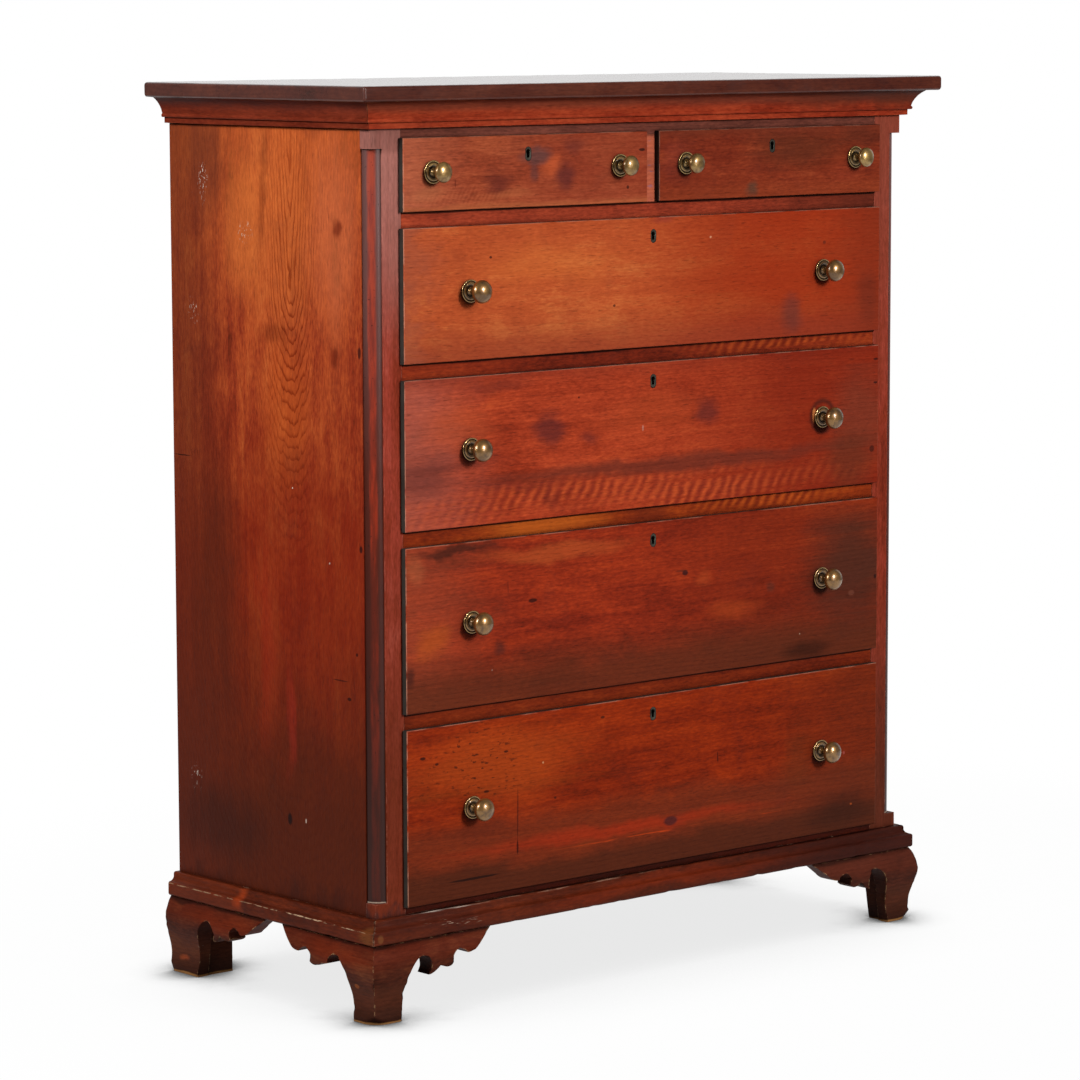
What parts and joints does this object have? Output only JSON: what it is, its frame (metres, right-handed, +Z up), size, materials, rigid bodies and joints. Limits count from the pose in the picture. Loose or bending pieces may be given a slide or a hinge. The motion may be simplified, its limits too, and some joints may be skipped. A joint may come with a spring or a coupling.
{
  "type": "tall chest",
  "caption": "Tall chest of drawers: short drawers over graduated long ones, quarter-column corners, cove cornice, moulded base and scroll-cut ogee bracket feet.",
  "frame": {"origin": "on the floor, under the middle of the whole chest's width and depth", "axes": "+Z up, -Y out of the front, +X to the right as seen from the front"},
  "size_m": [1.1234, 0.5032, 1.3],
  "materials": {
    "case_wood": "old shellac over reddish fruitwood, satin to glossy",
    "drawer_front_wood": "old shellac over reddish fruitwood with dark stains, satin",
    "dark_wood": "darkened and worn shellac",
    "column_wood": "nearly black red-brown shellac, glossy",
    "inner_wood": "bare softwood, aged",
    "knob_brass": "dull aged brass, brushed by use",
    "lock_metal": "tarnished brass"
  },
  "bodies": {
    "case": {"top_board": "case_wood", "side_left": "case_wood", "side_right": "case_wood", "back_panel": "inner_wood", "corner_post_left": "case_wood", "corner_post_right": "case_wood", "quarter_column_left": "column_wood", "quarter_column_right": "column_wood", "cornice_front": "case_wood", "cornice_left": "case_wood", "cornice_right": "case_wood", "base_moulding_front": "dark_wood", "base_moulding_left": "dark_wood", "base_moulding_right": "dark_wood", "foot_front_left": "dark_wood", "foot_front_right": "dark_wood", "foot_rear_left": "dark_wood", "foot_rear_right": "dark_wood", "top_rail_and_divider": "case_wood", "dust_board_1": "case_wood", "dust_board_2": "case_wood", "dust_board_3": "case_wood", "dust_board_4": "case_wood", "case_bottom": "case_wood"},
    "drawer_1": {"drawer_1_front": "drawer_front_wood", "drawer_1_carcass": "inner_wood", "drawer_1_bottom": "inner_wood", "drawer_1_lock": "lock_metal", "drawer_1_knob_left": "knob_brass", "drawer_1_knob_right": "knob_brass"},
    "drawer_2": {"drawer_2_front": "drawer_front_wood", "drawer_2_carcass": "inner_wood", "drawer_2_bottom": "inner_wood", "drawer_2_lock": "lock_metal", "drawer_2_knob_left": "knob_brass", "drawer_2_knob_right": "knob_brass"},
    "drawer_3": {"drawer_3_front": "drawer_front_wood", "drawer_3_carcass": "inner_wood", "drawer_3_bottom": "inner_wood", "drawer_3_lock": "lock_metal", "drawer_3_knob_left": "knob_brass", "drawer_3_knob_right": "knob_brass"},
    "drawer_4": {"drawer_4_front": "drawer_front_wood", "drawer_4_carcass": "inner_wood", "drawer_4_bottom": "inner_wood", "drawer_4_lock": "lock_metal", "drawer_4_knob_left": "knob_brass", "drawer_4_knob_right": "knob_brass"},
    "drawer_5": {"drawer_5_front": "drawer_front_wood", "drawer_5_carcass": "inner_wood", "drawer_5_bottom": "inner_wood", "drawer_5_lock": "lock_metal", "drawer_5_knob_left": "knob_brass", "drawer_5_knob_right": "knob_brass"},
    "drawer_6": {"drawer_6_front": "drawer_front_wood", "drawer_6_carcass": "inner_wood", "drawer_6_bottom": "inner_wood", "drawer_6_lock": "lock_metal", "drawer_6_knob_left": "knob_brass", "drawer_6_knob_right": "knob_brass"}
  },
  "joints": [
    {"name": "drawer_1_slide", "type": "slide", "parent": "case", "child": "drawer_1", "axis": [0, -1, 0], "range_m": [0, 0.34]},
    {"name": "drawer_2_slide", "type": "slide", "parent": "case", "child": "drawer_2", "axis": [0, -1, 0], "range_m": [0, 0.34]},
    {"name": "drawer_3_slide", "type": "slide", "parent": "case", "child": "drawer_3", "axis": [0, -1, 0], "range_m": [0, 0.34]},
    {"name": "drawer_4_slide", "type": "slide", "parent": "case", "child": "drawer_4", "axis": [0, -1, 0], "range_m": [0, 0.34]},
    {"name": "drawer_5_slide", "type": "slide", "parent": "case", "child": "drawer_5", "axis": [0, -1, 0], "range_m": [0, 0.34]},
    {"name": "drawer_6_slide", "type": "slide", "parent": "case", "child": "drawer_6", "axis": [0, -1, 0], "range_m": [0, 0.34]}
  ]
}
